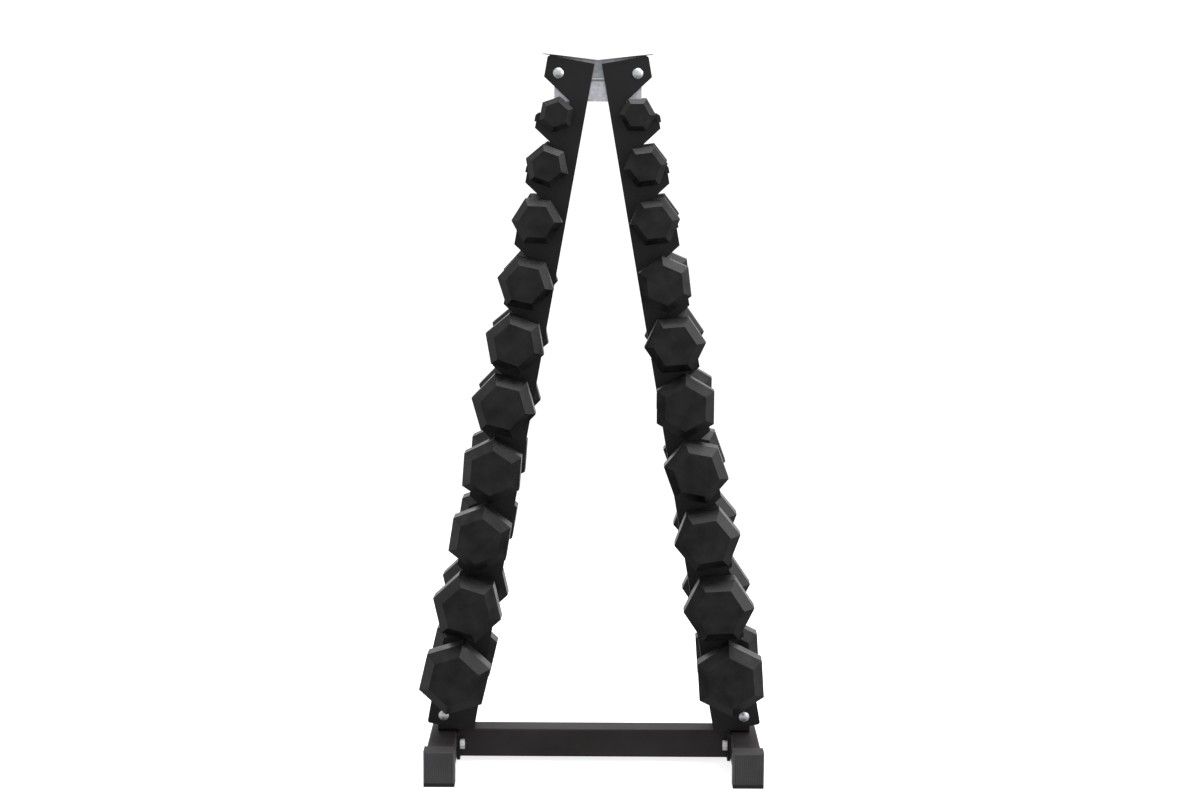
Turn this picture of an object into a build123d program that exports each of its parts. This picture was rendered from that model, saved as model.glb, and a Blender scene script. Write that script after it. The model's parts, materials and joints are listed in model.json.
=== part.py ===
from build123d import *
import math
import os

os.makedirs("parts", exist_ok=True)

# Loaded A-frame dumbbell rack, in millimetres. The floor is z = 0, the front faces -Y and the two
# legs lean together towards x = 0. A leg is drawn upright first: u runs outwards from its inner edge,
# v runs up the leg from its top inner corner, and y is the depth of the rack.

# Legs
lean = 10.0
leg_gap = 13.4
leg_top = 1317.5
leg_length = 1271.0
leg_width = 86.0
leg_depth = 88.0
plate_t = 4.0
web_t = 4.0
web_top = 74.0
web_bottom = 1262.0
plate_corner = 5.0
top_corner = 4.0
toe_out = 3.4
toe_top = 1210.0

# Pockets that carry the handles
seat_u = 49.5
first_seat = 101.0
pitches = [94.0, 101.0, 115.0, 112.0, 116.0, 122.0, 127.0, 134.0, 136.0]
seat_r = 17.0
pocket_rise = 62.0
finger_slope = 33.0
lip_slope = 17.0
nose_r = 3.5
liner_t = 3.2
liner_grip = 4.0
liner_side = 2.0
liner_rise = 6.0
liner_drop = 9.0

# Dumbbells, lightest first
handle_d = 25.0
handle_length = 118.0
head_flats = [57.0, 70.0, 80.0, 91.0, 98.0, 105.0, 105.0, 107.0, 114.0, 120.0]
head_thickness = [29.0, 44.0, 52.0, 55.0, 60.0, 63.0, 71.0, 77.0, 77.0, 78.0]
left_roll = [19, -20, -2, -12, -20, -14, 26, 21, -17, 17]
right_roll = [0, 8, 7, -23, 5, -30, -10, 10, 4, -26]
dumbbell_turn = -1.5
bevel_share = 0.15
bevel_slope = 48.0
rubber_t = 4.0
handle_socket = 0.7

# Top bracket and cap
cap_slope = 6.5
cap_half = 100.0
cap_overhang = 2.0
cap_rest = 1.2
sheet_t = 1.5
cap_flange_half = 88.0
cap_flange_bottom = 1289.0
cap_hem = 8.0
tie_half = 79.5
tie_bottom = 1249.5
tie_top = 1314.5
top_bolt_u = 61.5
top_bolt_v = -28.0

# Base
tube = 50.0
tube_wall = 2.5
tube_corner = 3.0
tube_x = 284.5
tube_z = 38.5
tube_length = 360.0
end_plate_t = 6.0
end_plate_width = 104.0
end_plate_bottom = 9.5
end_plate_top = 63.5
crossbar_bolt_y = 38.0
crossbar_bolt_z = 38.0
bracket_width = 36.0
bracket_t = 4.0
bracket_bend = 5.5
bracket_top = 113.5
foot_bolt_z = 95.5
foot_width = 57.0
foot_height = 67.5
foot_depth = 35.0
foot_end = 5.0
foot_chamfer = 2.0
foot_frame = 1.5
foot_sole = 8.0
rib_count = 12
rib_depth = 1.4

# Fasteners
bolt_d = 10.0
bolt_hole = 10.5
bolt_length = 17.5
bolt_head_d = 19.5
bolt_head_h = 5.0
nut_flats = 17.0
nut_t = 8.5

half_depth = leg_depth / 2
inner_face = half_depth - plate_t
lip = math.radians(lip_slope)
nose_u = leg_width - seat_u - nose_r
nose_v = (nose_u * math.sin(lip) - seat_r - nose_r) / math.cos(lip)
seats = [-first_seat - sum(pitches[:i]) for i in range(len(pitches) + 1)]
leg_place = Pos(leg_gap / 2, 0, leg_top) * Rot(0, -lean, 0)


def slab(face, y_front, y_back):
    """Plate cut to a face drawn in x and z, between two depths."""
    return Pos(0, y_back, 0) * extrude(Plane.XZ * face, amount=y_back - y_front)


def rod(x, z, y_front, y_back, diameter):
    return slab(Pos(x, z) * Circle(diameter / 2), y_front, y_back)


def box(x0, x1, y0, y1, z0, z1):
    centre = Pos((x0 + x1) / 2, (y0 + y1) / 2, (z0 + z1) / 2)
    return centre * Box(x1 - x0, y1 - y0, z1 - z0)


def other_side(shape):
    return mirror(shape, about=Plane.YZ)


def to_back(shape):
    return mirror(shape, about=Plane.XZ)


def solids_of(shapes):
    return [solid for shape in shapes for solid in shape.solids()]


def save(name, *shapes):
    found = solids_of(shapes)
    body = found[0] if len(found) == 1 else Compound(children=found)
    body.label = name
    export_step(body, os.path.join("parts", name + ".step"))


def along_lip(offset):
    """Ends of a line parallel to the lip: under the seat, and beside the nose."""
    normal = (-math.sin(lip), math.cos(lip))
    seat_end = (-(seat_r - offset) * normal[0], -(seat_r - offset) * normal[1])
    nose_end = (nose_u + (nose_r + offset) * normal[0], nose_v + (nose_r + offset) * normal[1])
    return seat_end, nose_end


def seat_arc(offset):
    radius = seat_r - offset
    seat_end = along_lip(offset)[0]
    middle = math.radians(225)
    return ThreePointArc(
        (-radius, 0), (radius * math.cos(middle), radius * math.sin(middle)), seat_end
    )


def nose_arc(offset):
    radius = nose_r + offset
    middle = (math.pi / 2 + lip) / 2
    return ThreePointArc(
        along_lip(offset)[1],
        (nose_u + radius * math.cos(middle), nose_v + radius * math.sin(middle)),
        (nose_u + radius, nose_v),
    )


def pocket():
    """Open pocket around one handle, with the handle centre at the origin."""
    outer = leg_width - seat_u
    slope = math.tan(math.radians(finger_slope))
    wall_top = pocket_rise - (outer + seat_r) * slope
    beyond = outer + 20
    far_top = (beyond, pocket_rise + 20 * slope)
    edges = [
        Line(far_top, (-seat_r, wall_top)),
        Line((-seat_r, wall_top), (-seat_r, 0)),
        seat_arc(0),
        Line(*along_lip(0)),
        nose_arc(0),
        Line((outer, nose_v), (beyond, nose_v)),
        Line((beyond, nose_v), far_top),
    ]
    return make_face(edges)


def liner_outline():
    """Edging that wraps the seat, the lip and the nose of one pocket."""
    low = nose_v - liner_drop
    grip_u = leg_width - seat_u - liner_grip
    grip_v = (grip_u * math.sin(lip) - seat_r - liner_grip) / math.cos(lip)
    outer = seat_r + liner_grip
    inner = seat_r - liner_t
    edges = [
        Line((-outer, liner_rise), (-inner, liner_rise)),
        Line((-inner, liner_rise), (-inner, 0)),
        seat_arc(liner_t),
        Line(*along_lip(liner_t)),
        nose_arc(liner_t),
        Line((nose_u + nose_r + liner_t, nose_v), (nose_u + nose_r + liner_t, low)),
        Line((nose_u + nose_r + liner_t, low), (grip_u, low)),
        Line((grip_u, low), (grip_u, grip_v)),
        Line((grip_u, grip_v), along_lip(-liner_grip)[0]),
        seat_arc(-liner_grip),
        Line((-outer, 0), (-outer, liner_rise)),
    ]
    return make_face(edges)


def in_leg(u, v):
    """Position in the rack of a point given along the right leg."""
    angle = math.radians(lean)
    x = leg_gap / 2 + u * math.cos(angle) - v * math.sin(angle)
    z = leg_top + u * math.sin(angle) + v * math.cos(angle)
    return x, z


def from_rack(x, z):
    """Point along the right leg of a position in the rack."""
    angle = math.radians(lean)
    dx = x - leg_gap / 2
    dz = z - leg_top
    return dx * math.cos(angle) + dz * math.sin(angle), dz * math.cos(angle) - dx * math.sin(angle)


# Front and rear plates of the legs
blank = make_face(
    Polyline(
        (0, 0),
        (leg_width, 0),
        (leg_width, -toe_top),
        (leg_width + toe_out, -toe_top - toe_out),
        (leg_width + toe_out, -leg_length),
        (0, -leg_length),
        close=True,
    )
)
blank = fillet(blank.vertices().sort_by(Axis.Y)[:2].sort_by(Axis.X)[-1], plate_corner)
blank = fillet(blank.vertices().sort_by(Axis.Y)[-2:].sort_by(Axis.X)[-1], top_corner)
foot_bolt_u, foot_bolt_v = from_rack(tube_x, foot_bolt_z)
cuts = [Pos(seat_u, v) * pocket() for v in seats]
cuts.append(Pos(top_bolt_u, top_bolt_v) * Circle(bolt_hole / 2))
cuts.append(Pos(foot_bolt_u, foot_bolt_v) * Circle(bolt_hole / 2))
plate_face = blank - cuts
upright_plate = slab(plate_face, -half_depth, -inner_face)
front_plate = leg_place * upright_plate
save("right_front_plate", front_plate)
save("left_front_plate", other_side(front_plate))
save("right_rear_plate", to_back(front_plate))
save("left_rear_plate", to_back(other_side(front_plate)))

# Webs that close the inner side of each leg
web = leg_place * box(0, web_t, -inner_face, inner_face, -web_bottom, -web_top)
save("right_web", web)
save("left_web", other_side(web))

# Edging in every pocket
liner_blank = slab(liner_outline(), -half_depth - liner_side, -inner_face + liner_side)
liners = [leg_place * (Pos(seat_u, 0, v) * liner_blank - upright_plate) for v in seats]
right_liners = liners + [to_back(liner) for liner in liners]
save("right_cradle_liners", *right_liners)
save("left_cradle_liners", *[other_side(liner) for liner in right_liners])

# Top cap: shallow V sheet with a flange behind each plate, its lower edge folded back on itself
top_bolt_x, top_bolt_z = in_leg(top_bolt_u, top_bolt_v)
corner_x, corner_z = in_leg(leg_width, 0)
rise = math.tan(math.radians(cap_slope))
cap_low = corner_z + cap_rest - corner_x * rise
sheet_rise = sheet_t / math.cos(math.radians(cap_slope))
vee = make_face(
    Polyline(
        (-cap_half, cap_low + cap_half * rise),
        (0, cap_low),
        (cap_half, cap_low + cap_half * rise),
        (cap_half, cap_low + cap_half * rise + sheet_rise),
        (0, cap_low + sheet_rise),
        (-cap_half, cap_low + cap_half * rise + sheet_rise),
        close=True,
    )
)
flange = make_face(
    Polyline(
        (-cap_flange_half, cap_flange_bottom),
        (cap_flange_half, cap_flange_bottom),
        (cap_flange_half, cap_low + cap_flange_half * rise + sheet_rise / 2),
        (0, cap_low + sheet_rise / 2),
        (-cap_flange_half, cap_low + cap_flange_half * rise + sheet_rise / 2),
        close=True,
    )
)
top_holes = [Pos(side * top_bolt_x, top_bolt_z) * Circle(bolt_hole / 2) for side in (-1, 1)]
hem = Pos(0, cap_flange_bottom + cap_hem / 2) * Rectangle(2 * cap_flange_half, cap_hem)
flange_sheet = slab(flange - top_holes, -inner_face, -inner_face + sheet_t)
flange_sheet += slab(hem - top_holes, -inner_face + sheet_t, -inner_face + 2 * sheet_t)
flange_sheet = fillet(flange_sheet.edges().filter_by(Axis.X).group_by(Axis.Z)[0], sheet_t - 0.1)
top_sheet = slab(vee, -half_depth - cap_overhang, half_depth + cap_overhang)
save("top_cap", top_sheet + flange_sheet + to_back(flange_sheet))

# Top tie: folded channel that holds the two legs together
tie_front = -inner_face + 2 * sheet_t
tie_face = make_face(
    Polyline(
        (-tie_half, tie_bottom),
        (tie_half, tie_bottom),
        (tie_half, tie_top),
        (-tie_half, tie_top),
        close=True,
    )
)
tie_sheet = slab(tie_face - top_holes, tie_front, tie_front + sheet_t)
tie_floor = box(-tie_half, tie_half, tie_front, -tie_front, tie_bottom, tie_bottom + sheet_t)
save("top_tie", tie_sheet + to_back(tie_sheet) + tie_floor)


def box_tube(height, length):
    outside = RectangleRounded(tube, height, tube_corner)
    inside = Rectangle(tube - 2 * tube_wall, height - 2 * tube_wall)
    return slab(outside - inside, -length / 2, length / 2)


# Base tubes, front to back, drilled on the inner side for the crossbar
base_tube = Pos(tube_x, 0, tube_z) * box_tube(tube, tube_length)
inner_side = tube_x - tube / 2
drill = Pos(inner_side, 0, crossbar_bolt_z) * Rot(0, 90, 0) * Cylinder(bolt_hole / 2, 3 * tube_wall)
base_tube -= [Pos(0, side * crossbar_bolt_y, 0) * drill for side in (-1, 1)]
save("right_base_tube", base_tube)
save("left_base_tube", other_side(base_tube))

# Crossbar and the plates welded on its ends
crossbar_half = inner_side - end_plate_t
end_height = end_plate_top - end_plate_bottom
end_z = (end_plate_top + end_plate_bottom) / 2
save("crossbar", Pos(0, 0, end_z) * Rot(0, 0, 90) * box_tube(end_height, 2 * crossbar_half))
end_plate = Pos(inner_side - end_plate_t / 2, 0, end_z) * Box(end_plate_t, end_plate_width, end_height)
end_plate = fillet(end_plate.edges().filter_by(Axis.X), 6)
end_drill = Pos(inner_side, 0, crossbar_bolt_z) * Rot(0, 90, 0) * Cylinder(bolt_hole / 2, 20)
end_plate -= [Pos(0, side * crossbar_bolt_y, 0) * end_drill for side in (-1, 1)]
save("crossbar_end_plates", end_plate, other_side(end_plate))

# Bent U brackets on the base tubes, flush with their inner side, that the plates bolt to
tube_top = tube_z + tube / 2
upstand_face = Pos(inner_side + bracket_width / 2, (tube_top + bracket_top) / 2) * Rectangle(
    bracket_width, bracket_top - tube_top
)
upstand_face = fillet(upstand_face.vertices().sort_by(Axis.Y)[-2:], 10)
upstand_face -= Pos(tube_x, foot_bolt_z) * Circle(bolt_hole / 2)
upstand = slab(upstand_face, -inner_face, -inner_face + bracket_t)
bracket_floor = box(
    inner_side,
    inner_side + bracket_width,
    -inner_face,
    inner_face,
    tube_top,
    tube_top + bracket_t,
)
bracket = upstand + to_back(upstand) + bracket_floor
bracket = fillet(bracket.edges().filter_by(Axis.X).group_by(Axis.Z)[1], bracket_bend - bracket_t)
bracket = fillet(bracket.edges().filter_by(Axis.X).group_by(Axis.Z)[0], bracket_bend)
save("foot_brackets", bracket, other_side(bracket))

# Plastic feet pushed over the ends of the base tubes
foot_front = -tube_length / 2 - foot_end
foot = box(
    tube_x - foot_width / 2,
    tube_x + foot_width / 2,
    foot_front,
    foot_front + foot_depth,
    0,
    foot_height,
)
foot = chamfer(foot.faces().sort_by(Axis.Y)[0].edges(), foot_chamfer)
rib_pitch = (foot_width - 2 * (foot_chamfer + foot_frame)) / (rib_count + 0.5)
rib_start = tube_x - rib_pitch * (rib_count + 0.5) / 2
for k in range(rib_count + 1):
    foot -= box(
        rib_start + k * rib_pitch,
        rib_start + (k + 0.5) * rib_pitch,
        foot_front,
        foot_front + rib_depth,
        foot_sole,
        foot_height - foot_chamfer - foot_frame,
    )
socket_face = Pos(tube_x, tube_z) * RectangleRounded(tube, tube, tube_corner)
foot -= slab(socket_face, -tube_length / 2, foot_front + foot_depth)
feet = [foot, to_back(foot)]
save("foot_caps", *feet, *[other_side(shape) for shape in feet])


# Fasteners, drawn with the clamped face at y = 0 and the head towards -Y
def carriage_bolt():
    head_r = bolt_head_d / 2
    profile = make_face(
        [
            ThreePointArc(
                (0, bolt_head_h), (head_r * 0.62, bolt_head_h * 0.74), (head_r, bolt_head_h * 0.16)
            ),
            Polyline(
                (head_r, bolt_head_h * 0.16),
                (head_r, 0),
                (bolt_d / 2, 0),
                (bolt_d / 2, -bolt_length),
                (0, -bolt_length),
                (0, bolt_head_h),
            ),
        ]
    )
    return Rot(90, 0, 0) * revolve(Plane.XZ * profile, Axis.Z)


def lock_nut():
    return slab(
        RegularPolygon(nut_flats / 2, 6, major_radius=False) - Circle(bolt_d / 2), 0, nut_t
    )


bolts = []
nuts = []
top_grip = plate_t + 3 * sheet_t
foot_grip = plate_t + bracket_t
for x, z, grip in ((top_bolt_x, top_bolt_z, top_grip), (tube_x, foot_bolt_z, foot_grip)):
    at = Pos(x, -half_depth, z)
    bolts.append(at * carriage_bolt())
    nuts.append(at * Pos(0, grip, 0) * lock_nut())
side_place = Pos(inner_side + tube_wall, -crossbar_bolt_y, crossbar_bolt_z) * Rot(0, 0, 90)
side_grip = tube_wall + end_plate_t
bolts.append(side_place * carriage_bolt())
nuts.append(side_place * Pos(0, side_grip, 0) * lock_nut())


def all_corners(shapes):
    pair = shapes + [to_back(shape) for shape in shapes]
    return pair + [other_side(shape) for shape in pair]


save("carriage_bolts", *all_corners(bolts))
save("lock_nuts", *all_corners(nuts))


def hexagon(flats, roll):
    radius = flats / math.sqrt(3)
    angles = [math.radians(roll + 60 * k) for k in range(6)]
    return make_face(
        Polyline([(radius * math.cos(a), radius * math.sin(a)) for a in angles], close=True)
    )


def hex_block(flats, thickness, bevel, roll):
    """Hexagonal block from y = 0 towards -Y, bevelled all round on both faces."""
    depth = bevel * math.tan(math.radians(bevel_slope))
    face = hexagon(flats, roll)
    middle = slab(face, -thickness + depth, -depth)
    front = extrude(Plane.XZ * face, amount=depth, taper=90 - bevel_slope)
    front = Pos(0, -thickness + depth, 0) * front
    back = mirror(extrude(Plane.XZ * face, amount=depth, taper=90 - bevel_slope), about=Plane.XZ)
    back = Pos(0, -depth, 0) * back
    return front + middle + back


def dumbbell(flats, thickness, roll):
    """Steel handle with two iron cores, and the two rubber coats over them."""
    start = -handle_length / 2
    bevel = bevel_share * flats
    core_t = thickness - 2 * rubber_t
    reach = handle_length / 2 + rubber_t + handle_socket * core_t
    handle = rod(0, 0, -reach, reach, handle_d)
    core = Pos(0, start - rubber_t, 0) * hex_block(flats - 2 * rubber_t, core_t, bevel, roll)
    coat = Pos(0, start, 0) * hex_block(flats, thickness, bevel, roll)
    coat = coat - core - handle
    core = core - handle
    return [handle, core, to_back(core)], [coat, to_back(coat)]


for side, rolls in (("left", left_roll), ("right", right_roll)):
    for tier, v in enumerate(seats):
        x, z = in_leg(seat_u, v)
        if side == "left":
            x = -x
        metal, rubber = dumbbell(head_flats[tier], head_thickness[tier], rolls[tier])
        place = Pos(x, 0, z) * Rot(0, 0, dumbbell_turn)
        name = f"dumbbell_{side}_{tier + 1:02d}"
        save(name + "_core", *[place * shape for shape in metal])
        save(name + "_rubber", *[place * shape for shape in rubber])
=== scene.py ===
import json
import math

import bpy
from mathutils import Matrix, Vector

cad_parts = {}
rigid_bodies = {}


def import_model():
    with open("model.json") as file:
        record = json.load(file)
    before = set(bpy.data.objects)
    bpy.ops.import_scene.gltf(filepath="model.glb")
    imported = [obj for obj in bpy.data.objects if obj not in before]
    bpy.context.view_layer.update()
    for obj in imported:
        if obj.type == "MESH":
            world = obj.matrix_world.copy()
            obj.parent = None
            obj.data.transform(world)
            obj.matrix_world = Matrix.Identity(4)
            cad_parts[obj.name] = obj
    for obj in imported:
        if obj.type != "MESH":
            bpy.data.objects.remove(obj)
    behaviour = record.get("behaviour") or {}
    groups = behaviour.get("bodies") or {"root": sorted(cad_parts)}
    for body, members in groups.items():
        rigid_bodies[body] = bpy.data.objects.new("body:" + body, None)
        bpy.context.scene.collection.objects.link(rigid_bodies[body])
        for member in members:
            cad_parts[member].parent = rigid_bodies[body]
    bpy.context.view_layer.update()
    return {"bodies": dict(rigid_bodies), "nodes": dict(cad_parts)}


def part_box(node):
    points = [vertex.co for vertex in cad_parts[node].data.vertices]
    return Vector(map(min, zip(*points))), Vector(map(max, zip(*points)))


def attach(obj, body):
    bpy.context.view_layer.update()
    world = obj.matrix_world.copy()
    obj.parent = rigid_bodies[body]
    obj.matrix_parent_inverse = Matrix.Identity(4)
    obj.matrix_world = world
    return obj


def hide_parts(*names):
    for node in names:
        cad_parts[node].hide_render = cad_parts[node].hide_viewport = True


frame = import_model()
nodes = frame["nodes"]

# dumbbells, in metres
DUMBBELL_TURN = math.radians(-1.5)
HANDLE_RADIUS = 0.0125
HANDLE_HALF = 0.0595
KNURL_HALF = 0.044
KNURL_DEPTH = 0.00045
KNURL_COUNT = 26  # diamonds round the handle
KNURL_STEPS = 4  # mesh steps across one diamond
KNURL_SLANT = 1.15  # a diamond's length over its width
KNURL_POINT = 0.8  # below 1 the diamonds are blunter
GROOVE_START, GROOVE_END = 0.0004, 0.0012  # past the knurling's end

# how noise becomes colour and roughness: the share of its range that is used
TONE_SPAN = (0.32, 0.68)
FLAKE_SPAN = (0.1, 0.9)
ROUGH_SPAN = (0.3, 0.7)
BAND_PEAK = 0.8  # where a level band is strongest, as a share of its height
FACES_UP = (0.3, 0.7)  # upward part of a normal over which a surface stops being upright

# level bands: lowest and highest level in metres, colour, share at the low end, upright faces only
SOLE_BAND = ((0.0, 0.0088), (0.024, 0.023, 0.024), 1.0)
# painted shade: a darker colour over the top of the foot caps, standing in for less light there
FOOT_TOP_PAINTED_SHADE = ((0.0635, 0.0690), (0.044, 0.043, 0.045))
# painted highlight: a near-white line along the lower hem of the cap's flange
HEM_PAINTED_HIGHLIGHT = ((1.2868, 1.2916), (0.95, 0.96, 0.97))
# painted shade: a near-black colour on the cap's upright faces towards its top edge
CAP_EDGE_PAINTED_SHADE = ((1.3225, 1.3350), (0.010, 0.010, 0.009), 0.0, True)
# painted shadow: a darker line on the tie just under the cap's flange
LAP_PAINTED_SHADOW = ((1.2845, 1.2900), (0.13, 0.13, 0.14))

BEVEL_ANGLE = math.radians(28)
STEEL_EDGE, RUBBER_EDGE = 0.0006, 0.0011

FLOOR_HALF = 2.2
FLOOR_SHADE = 0.6
FLOOR_GLOW = 0.8

# name, place, point aimed at, width and height, watts
SOFTBOXES = (
    ("top_box", (0.4, 0.1, 3.4), (0, 0, 0.6), (2.4, 2.0), 84),
    ("side_box", (2.8, -0.8, 1.9), (0, 0, 0.7), (1.6, 1.6), 45),
)
# reach along Y or Z of the surround's direction, and its strength at the two ends
FRONT_TO_BACK = ((-0.35, 0.45), (0.80, 1.15))
BELOW_TO_ABOVE = ((-0.5, -0.2), (0.34, 1.0))

CAMERA_PLACE = (-0.0097, -4.1516, 1.3052)
CAMERA_HEADING = math.radians(-0.24)
CAMERA_PITCH = math.radians(90 - 8.37)
CAMERA_ROLL = math.radians(0.385)
CAMERA_LENS = 67.14
CAMERA_SENSOR = 36.0
CAMERA_REACH = 60.0


# ---------------------------------------------------------------- materials
def new_material(name):
    material = bpy.data.materials.new(name)
    material.use_nodes = True
    tree = material.node_tree
    shader = tree.nodes["Principled BSDF"]
    return material, tree, shader


def position(tree):
    return tree.nodes.new("ShaderNodeTexCoord").outputs["Object"]


def along_z(tree, vector):
    axes = tree.nodes.new("ShaderNodeSeparateXYZ")
    tree.links.new(vector, axes.inputs["Vector"])
    return axes.outputs["Z"]


def noise(tree, scale, detail, stretch=None):
    source = position(tree)
    if stretch:
        mapping = tree.nodes.new("ShaderNodeMapping")
        mapping.inputs["Scale"].default_value = stretch
        tree.links.new(source, mapping.inputs["Vector"])
        source = mapping.outputs["Vector"]
    node = tree.nodes.new("ShaderNodeTexNoise")
    node.inputs["Scale"].default_value = scale
    node.inputs["Detail"].default_value = detail
    tree.links.new(source, node.inputs["Vector"])
    return node.outputs["Fac"]


def spangle(tree, scale):
    node = tree.nodes.new("ShaderNodeTexVoronoi")
    node.inputs["Scale"].default_value = scale
    tree.links.new(position(tree), node.inputs["Vector"])
    return node.outputs["Color"]


def ramp(tree, source, span, tones):
    node = tree.nodes.new("ShaderNodeValToRGB")
    for element, place, tone in zip(node.color_ramp.elements, span, tones):
        element.position, element.color = place, (*tone, 1)
    tree.links.new(source, node.inputs["Fac"])
    return node.outputs["Color"]


def fade(tree, source, reach, strength):
    """Takes the reach of source to the two strengths."""
    node = tree.nodes.new("ShaderNodeMapRange")
    node.inputs["From Min"].default_value, node.inputs["From Max"].default_value = reach
    node.inputs["To Min"].default_value, node.inputs["To Max"].default_value = strength
    tree.links.new(source, node.inputs["Value"])
    return node.outputs["Result"]


def product(tree, one, two):
    node = tree.nodes.new("ShaderNodeMath")
    node.operation = "MULTIPLY"
    tree.links.new(one, node.inputs[0])
    tree.links.new(two, node.inputs[1])
    return node.outputs["Value"]


def upright(tree):
    """1 on surfaces that stand upright or face down, 0 on surfaces that face up."""
    normal = tree.nodes.new("ShaderNodeTexCoord").outputs["Normal"]
    return fade(tree, along_z(tree, normal), FACES_UP, (1.0, 0.0))


def level_band(tree, colour, band, band_colour, foot=0.0, sides_only=False):
    """Lays another colour over a band of heights: foot is its share at the low end; it fades out on top."""
    strip = tree.nodes.new("ShaderNodeValToRGB")
    elements = strip.color_ramp.elements
    elements[0].position, elements[0].color = 0.0, (foot, foot, foot, 1)
    elements[1].position, elements[1].color = BAND_PEAK, (1, 1, 1, 1)
    elements.new(1.0).color = (0, 0, 0, 1)
    height = along_z(tree, position(tree))
    tree.links.new(fade(tree, height, band, (0.0, 1.0)), strip.inputs["Fac"])
    share = strip.outputs["Color"]
    if sides_only:
        share = product(tree, share, upright(tree))
    blend = tree.nodes.new("ShaderNodeMix")
    blend.data_type = "RGBA"
    tree.links.new(share, blend.inputs["Factor"])
    tree.links.new(colour, blend.inputs["A"])
    blend.inputs["B"].default_value = (*band_colour, 1)
    return blend.outputs["Result"]


def bump(tree, shader, height, depth, strength):
    node = tree.nodes.new("ShaderNodeBump")
    node.inputs["Distance"].default_value = depth
    node.inputs["Strength"].default_value = strength
    tree.links.new(height, node.inputs["Height"])
    tree.links.new(node.outputs["Normal"], shader.inputs["Normal"])


def finish_of(name, tones, rough, grain, metallic=0.0, specular=0.5, patch=14.0, bands=()):
    """Surface with slow colour and gloss changes and a fine grain; grain is (scale, depth, strength)."""
    material, tree, shader = new_material(name)
    grain_scale, grain_depth, grain_strength = grain
    slow = noise(tree, patch, 4.0)
    colour = ramp(tree, slow, TONE_SPAN, tones)
    for band in bands:
        colour = level_band(tree, colour, *band)
    tree.links.new(colour, shader.inputs["Base Color"])
    tree.links.new(fade(tree, slow, ROUGH_SPAN, rough), shader.inputs["Roughness"])
    bump(tree, shader, noise(tree, grain_scale, 3.0), grain_depth, grain_strength)
    shader.inputs["Metallic"].default_value = metallic
    shader.inputs["Specular IOR Level"].default_value = specular
    return material


def galvanised(name, tones, bands):
    """Zinc-coated sheet with a soft spangle, and level bands of other colours."""
    material, tree, shader = new_material(name)
    colour = ramp(tree, spangle(tree, 160.0), FLAKE_SPAN, tones)
    for band in bands:
        colour = level_band(tree, colour, *band)
    tree.links.new(colour, shader.inputs["Base Color"])
    cloud = noise(tree, 40.0, 3.0, (1.0, 1.0, 0.25))
    tree.links.new(fade(tree, cloud, ROUGH_SPAN, (0.34, 0.48)), shader.inputs["Roughness"])
    bump(tree, shader, noise(tree, 700.0, 2.0, (0.15, 0.15, 1.0)), 0.0002, 0.12)
    shader.inputs["Metallic"].default_value = 0.55
    return material


powder = finish_of(
    "powder_coat", ((0.0085, 0.0076, 0.0078), (0.014, 0.0122, 0.0126)), (0.42, 0.52),
    (900.0, 0.0004, 0.22), specular=0.26,
)
# painted light: a lighter copy of the same powder coat, for the crossbar and base tubes
lit_base_powder = finish_of(
    "powder_coat_lit_base", ((0.022, 0.0195, 0.0190), (0.034, 0.0300, 0.0295)), (0.46, 0.56),
    (900.0, 0.0004, 0.25), specular=0.18,
)
powder_edge = finish_of(
    "powder_coat_worn", ((0.016, 0.0145, 0.015), (0.045, 0.042, 0.042)), (0.32, 0.44), (700.0, 0.0003, 0.2),
    specular=0.35, patch=60.0,
)
rubber = finish_of(
    "moulded_rubber", ((0.0030, 0.0028, 0.0033), (0.0170, 0.0160, 0.0172)), (0.30, 0.46),
    (320.0, 0.0006, 0.22), specular=0.24, patch=34.0,
)
rubber_edge = finish_of(
    "scuffed_rubber", ((0.012, 0.0115, 0.0118), (0.034, 0.032, 0.032)), (0.42, 0.55), (900.0, 0.0003, 0.25),
    specular=0.3, patch=80.0,
)
# the foot caps' second band is painted shade on their tops
plastic = finish_of(
    "foot_plastic", ((0.078, 0.076, 0.079), (0.104, 0.102, 0.107)), (0.55, 0.66), (1400.0, 0.0002, 0.15),
    specular=0.12, bands=(SOLE_BAND, FOOT_TOP_PAINTED_SHADE),
)
edging = finish_of(
    "cradle_edging", ((0.008, 0.008, 0.008), (0.013, 0.012, 0.012)), (0.34, 0.42), (1300.0, 0.0002, 0.1),
    specular=0.3,
)
zinc = finish_of(
    "zinc_plate", ((0.50, 0.52, 0.54), (0.70, 0.71, 0.73)), (0.38, 0.50), (600.0, 0.0003, 0.2),
    metallic=0.8, patch=220.0,
)
nut_zinc = finish_of(
    "zinc_nut", ((0.84, 0.85, 0.86), (0.97, 0.97, 0.98)), (0.30, 0.42), (600.0, 0.0002, 0.15),
    metallic=0.2, patch=160.0,
)
chrome = finish_of(
    "handle_chrome", ((0.66, 0.66, 0.67), (0.76, 0.76, 0.77)), (0.16, 0.26), (900.0, 0.0001, 0.08),
    metallic=1.0, patch=60.0,
)
# the cap's level bands are a painted highlight on its hem and painted shade near its top edge
cap_sheet = galvanised("cap_sheet", ((0.27, 0.28, 0.31), (0.38, 0.39, 0.42)), (HEM_PAINTED_HIGHLIGHT, CAP_EDGE_PAINTED_SHADE))
# the tie's level band is a painted shadow under the cap's flange
tie_sheet = galvanised("tie_sheet", ((0.52, 0.53, 0.57), (0.72, 0.73, 0.77)), (LAP_PAINTED_SHADOW,))
sheet_edge = finish_of(
    "sheared_edge", ((0.10, 0.09, 0.085), (0.20, 0.18, 0.17)), (0.45, 0.6), (900.0, 0.0002, 0.3),
    metallic=0.6, patch=90.0,
)

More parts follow.
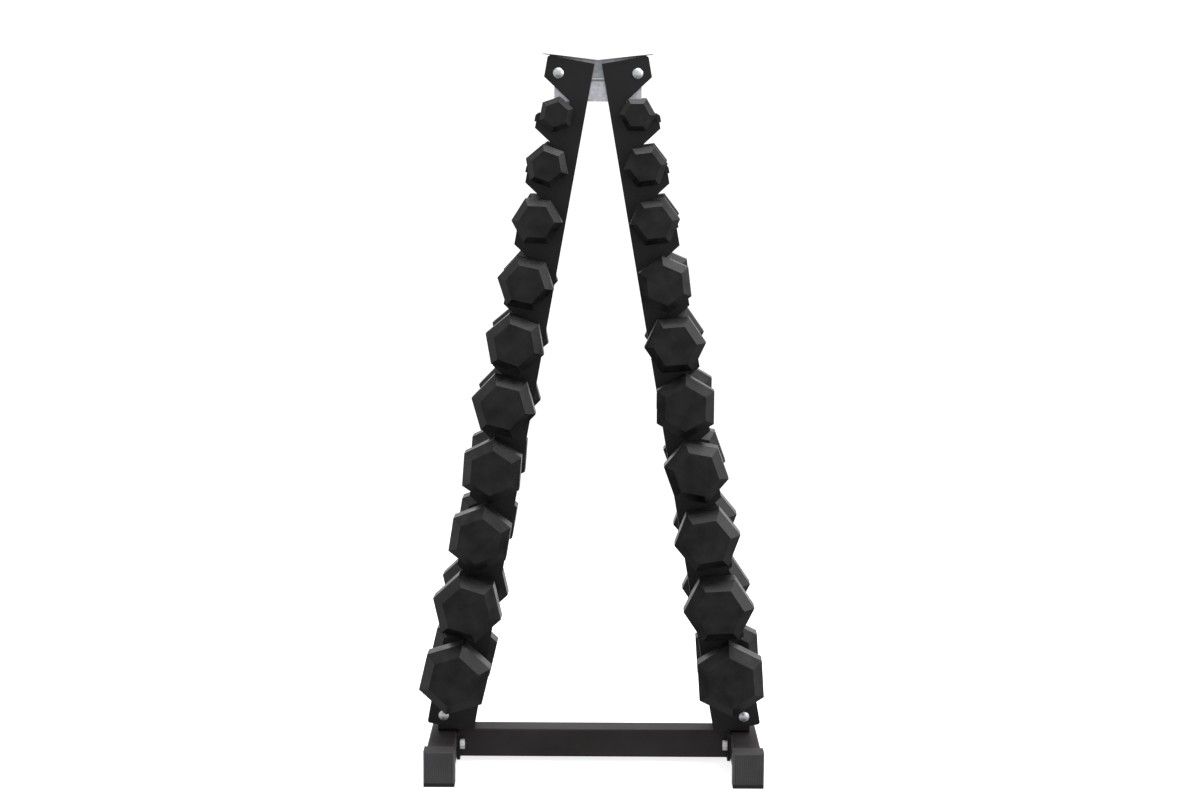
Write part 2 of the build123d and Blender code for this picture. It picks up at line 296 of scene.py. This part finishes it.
# surface, edge surface and edge radius of every piece that isn't plain powder-coated steel
LOOKS = {
    "top_cap": (cap_sheet, sheet_edge, 0.00074),
    "top_tie": (tie_sheet, tie_sheet, 0.0003),
    "foot_caps": (plastic, plastic, 0.0003),
    "left_cradle_liners": (edging, edging, 0.0004),
    "right_cradle_liners": (edging, edging, 0.0004),
    "carriage_bolts": (zinc, zinc, 0.0003),
    "lock_nuts": (nut_zinc, nut_zinc, 0.0005),
    # crossbar and base tubes take the powder coat's lighter copy, which is painted light
    "crossbar": (lit_base_powder, powder_edge, STEEL_EDGE),
    "left_base_tube": (lit_base_powder, powder_edge, STEEL_EDGE),
    "right_base_tube": (lit_base_powder, powder_edge, STEEL_EDGE),
}


def finish_piece(piece, surface, edge, width):
    """Gives the piece its surface, and rounds its edges with a strip of the edge surface."""
    piece.data.materials.clear()
    piece.data.materials.append(surface)
    piece.data.materials.append(edge)
    modifier = piece.modifiers.new("soft_edges", "BEVEL")
    modifier.width = width
    modifier.segments = 2
    modifier.limit_method = "ANGLE"
    modifier.angle_limit = BEVEL_ANGLE
    modifier.harden_normals = True
    modifier.material = 1


for name, node in nodes.items():
    if name.endswith("_rubber"):
        finish_piece(node, rubber, rubber_edge, RUBBER_EDGE)
    else:
        finish_piece(node, *LOOKS.get(name, (powder, powder_edge, STEEL_EDGE)))


# ---------------------------------------------------------------- handles
def handle_mesh():
    """Chromed grip along Y: smooth ends, and a band of diamond knurling cut into the middle."""
    around = KNURL_COUNT * KNURL_STEPS
    turn = math.tau / KNURL_COUNT
    pitch = HANDLE_RADIUS * turn * KNURL_SLANT
    step = pitch / KNURL_STEPS
    count = int(round(2 * KNURL_HALF / step))
    stations = [
        (-HANDLE_HALF, "plain"), (-KNURL_HALF - GROOVE_END, "plain"), (-KNURL_HALF - GROOVE_START, "groove"),
    ]
    stations += [(-KNURL_HALF + 2 * KNURL_HALF * k / count, "knurl") for k in range(count + 1)]
    stations += [
        (KNURL_HALF + GROOVE_START, "groove"), (KNURL_HALF + GROOVE_END, "plain"), (HANDLE_HALF, "plain"),
    ]
    vertices = []
    for y, kind in stations:
        for k in range(around):
            angle = math.tau * k / around
            drop = 0.0
            if kind == "knurl":
                one = abs(math.sin(angle / turn * math.pi + y / pitch * math.pi))
                two = abs(math.sin(angle / turn * math.pi - y / pitch * math.pi))
                drop = KNURL_DEPTH * (1 - min(one, two) ** KNURL_POINT)
            elif kind == "groove":
                drop = KNURL_DEPTH
            radius = HANDLE_RADIUS - drop
            vertices.append((radius * math.cos(angle), y, radius * math.sin(angle)))
    faces = []
    for row in range(len(stations) - 1):
        for k in range(around):
            here = row * around + k
            beside = row * around + (k + 1) % around
            faces.append((here, here + around, beside + around, beside))
    first, last = len(vertices), len(vertices) + 1
    vertices += [(0, -HANDLE_HALF, 0), (0, HANDLE_HALF, 0)]
    top = (len(stations) - 1) * around
    for k in range(around):
        faces.append((first, k, (k + 1) % around))
        faces.append((last, top + (k + 1) % around, top + k))
    mesh = bpy.data.meshes.new("knurled_handle")
    mesh.from_pydata(vertices, [], faces)
    mesh.materials.append(chrome)
    mesh.shade_smooth()
    mesh.update()
    return mesh


grip = handle_mesh()
for body in frame["bodies"]:
    if not body.startswith("dumbbell"):
        continue
    low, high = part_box(body + "_core")
    handle = bpy.data.objects.new(body.replace("dumbbell", "handle"), grip)
    bpy.context.scene.collection.objects.link(handle)
    handle.location = (low + high) / 2
    handle.rotation_euler.z = DUMBBELL_TURN
    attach(handle, body)
    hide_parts(body + "_core")


# ---------------------------------------------------------------- studio
def floor():
    """Pale floor with a glow of its own, which the rack neither reflects nor takes light from."""
    mesh = bpy.data.meshes.new("floor")
    corners = [(x * FLOOR_HALF, y * FLOOR_HALF, 0) for x, y in ((-1, -1), (1, -1), (1, 1), (-1, 1))]
    mesh.from_pydata(corners, [], [(0, 1, 2, 3)])
    piece = bpy.data.objects.new("floor", mesh)
    bpy.context.scene.collection.objects.link(piece)
    material, _, shader = new_material("pale_floor")
    shader.inputs["Base Color"].default_value = (FLOOR_SHADE, FLOOR_SHADE, FLOOR_SHADE, 1)
    shader.inputs["Emission Color"].default_value = (1.0, 1.0, 1.0, 1)
    shader.inputs["Emission Strength"].default_value = FLOOR_GLOW
    shader.inputs["Roughness"].default_value = 0.9
    shader.inputs["Specular IOR Level"].default_value = 0.1
    mesh.materials.append(material)
    piece.visible_diffuse = False
    piece.visible_glossy = False


def softbox(name, place, target, size, watts):
    light = bpy.data.lights.new(name, "AREA")
    light.shape = "RECTANGLE"
    light.size, light.size_y = size
    light.energy = watts
    lamp = bpy.data.objects.new(name, light)
    bpy.context.scene.collection.objects.link(lamp)
    lamp.location = place
    lamp.rotation_euler = (Vector(target) - Vector(place)).to_track_quat("-Z", "Y").to_euler()


def studio():
    """White surround, dimmer on the side the rack faces and underneath, with soft lights above and right."""
    world = bpy.data.worlds.new("studio")
    world.use_nodes = True
    tree = world.node_tree
    background = tree.nodes["Background"]
    background.inputs["Color"].default_value = (1.0, 1.0, 1.0, 1)
    around = tree.nodes.new("ShaderNodeTexCoord")
    axes = tree.nodes.new("ShaderNodeSeparateXYZ")
    tree.links.new(around.outputs["Generated"], axes.inputs["Vector"])
    behind = fade(tree, axes.outputs["Y"], *FRONT_TO_BACK)
    above = fade(tree, axes.outputs["Z"], *BELOW_TO_ABOVE)
    tree.links.new(product(tree, behind, above), background.inputs["Strength"])
    bpy.context.scene.world = world
    for box in SOFTBOXES:
        softbox(*box)


def camera():
    data = bpy.data.cameras.new("camera")
    data.lens = CAMERA_LENS
    data.sensor_width = CAMERA_SENSOR
    data.sensor_fit = "HORIZONTAL"
    data.clip_end = CAMERA_REACH
    eye = bpy.data.objects.new("camera", data)
    bpy.context.scene.collection.objects.link(eye)
    heading = Matrix.Rotation(CAMERA_HEADING, 4, "Z")
    pitch = Matrix.Rotation(CAMERA_PITCH, 4, "X")
    roll = Matrix.Rotation(CAMERA_ROLL, 4, "Z")
    eye.matrix_world = Matrix.Translation(CAMERA_PLACE) @ heading @ pitch @ roll
    bpy.context.scene.camera = eye


floor()
studio()
camera()
bpy.context.scene.view_settings.view_transform = "Standard"
